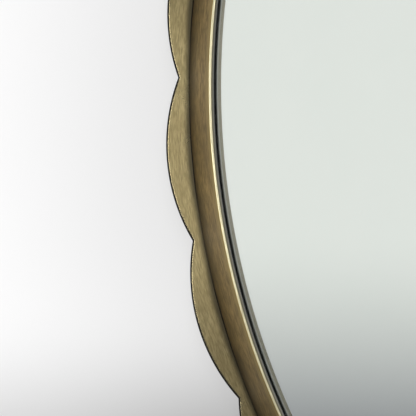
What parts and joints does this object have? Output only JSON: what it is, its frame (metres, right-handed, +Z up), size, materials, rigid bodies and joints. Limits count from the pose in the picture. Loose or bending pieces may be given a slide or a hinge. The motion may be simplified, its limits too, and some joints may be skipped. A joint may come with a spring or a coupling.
{
  "type": "wall mirror",
  "caption": "Round wall mirror in a flat brass frame with a scalloped edge and a raised rim, with turn buttons and hanging rings on its back.",
  "frame": {"origin": "on the mirror's axis, in the plane of the wall that the rear pads rest on", "axes": "+Z up, +X to the right seen from the front, +Y into the wall, so the front looks towards -Y"},
  "size_m": [0.911, 0.0368, 0.911],
  "materials": {
    "antique_brass": "brushed and darkened, satin",
    "black_foam": "matte closed-cell foam",
    "clear_glass": "polished float glass",
    "silvering": "silvered, painted grey on the back",
    "grey_felt": "thin pressed felt",
    "block_rubber": "matte rubber",
    "black_board": "fibreboard, painted black",
    "zinc_steel": "zinc plated",
    "pad_rubber": "matte rubber"
  },
  "bodies": {
    "frame": {"scalloped_flange": "antique_brass", "rim_ring": "antique_brass", "glazing_tape": "black_foam", "mirror_glass": "clear_glass", "silver_coating": "silvering", "felt_liner": "grey_felt", "setting_blocks": "block_rubber", "backing_board": "black_board", "flange_screws": "zinc_steel", "turn_button_washers": "zinc_steel", "turn_button_screws": "zinc_steel", "hanger_strap_left": "zinc_steel", "hanger_strap_right": "zinc_steel", "hanger_screws": "zinc_steel", "wall_pads": "pad_rubber"},
    "turn_button_1": {"turn_button_1": "zinc_steel"},
    "turn_button_2": {"turn_button_2": "zinc_steel"},
    "turn_button_3": {"turn_button_3": "zinc_steel"},
    "turn_button_4": {"turn_button_4": "zinc_steel"},
    "turn_button_5": {"turn_button_5": "zinc_steel"},
    "turn_button_6": {"turn_button_6": "zinc_steel"},
    "turn_button_7": {"turn_button_7": "zinc_steel"},
    "turn_button_8": {"turn_button_8": "zinc_steel"},
    "d_ring_left": {"d_ring_left": "zinc_steel"},
    "d_ring_right": {"d_ring_right": "zinc_steel"}
  },
  "joints": [
    {"name": "button_1_turn", "type": "hinge", "parent": "frame", "child": "turn_button_1", "pos_m": [0.40697, -0.0057, 0.16857], "axis": [0, 1, 0], "continuous": true},
    {"name": "button_2_turn", "type": "hinge", "parent": "frame", "child": "turn_button_2", "pos_m": [0.16857, -0.0057, 0.40697], "axis": [0, 1, 0], "continuous": true},
    {"name": "button_3_turn", "type": "hinge", "parent": "frame", "child": "turn_button_3", "pos_m": [-0.16857, -0.0057, 0.40697], "axis": [0, 1, 0], "continuous": true},
    {"name": "button_4_turn", "type": "hinge", "parent": "frame", "child": "turn_button_4", "pos_m": [-0.40697, -0.0057, 0.16857], "axis": [0, 1, 0], "continuous": true},
    {"name": "button_5_turn", "type": "hinge", "parent": "frame", "child": "turn_button_5", "pos_m": [-0.40697, -0.0057, -0.16857], "axis": [0, 1, 0], "continuous": true},
    {"name": "button_6_turn", "type": "hinge", "parent": "frame", "child": "turn_button_6", "pos_m": [-0.16857, -0.0057, -0.40697], "axis": [0, 1, 0], "continuous": true},
    {"name": "button_7_turn", "type": "hinge", "parent": "frame", "child": "turn_button_7", "pos_m": [0.16857, -0.0057, -0.40697], "axis": [0, 1, 0], "continuous": true},
    {"name": "button_8_turn", "type": "hinge", "parent": "frame", "child": "turn_button_8", "pos_m": [0.40697, -0.0057, -0.16857], "axis": [0, 1, 0], "continuous": true},
    {"name": "ring_left_swing", "type": "hinge", "parent": "frame", "child": "d_ring_left", "pos_m": [-0.2, -0.0034, 0.26], "axis": [1, 0, 0], "range_deg": [0, 180]},
    {"name": "ring_right_swing", "type": "hinge", "parent": "frame", "child": "d_ring_right", "pos_m": [0.2, -0.0034, 0.26], "axis": [1, 0, 0], "range_deg": [0, 180]}
  ]
}
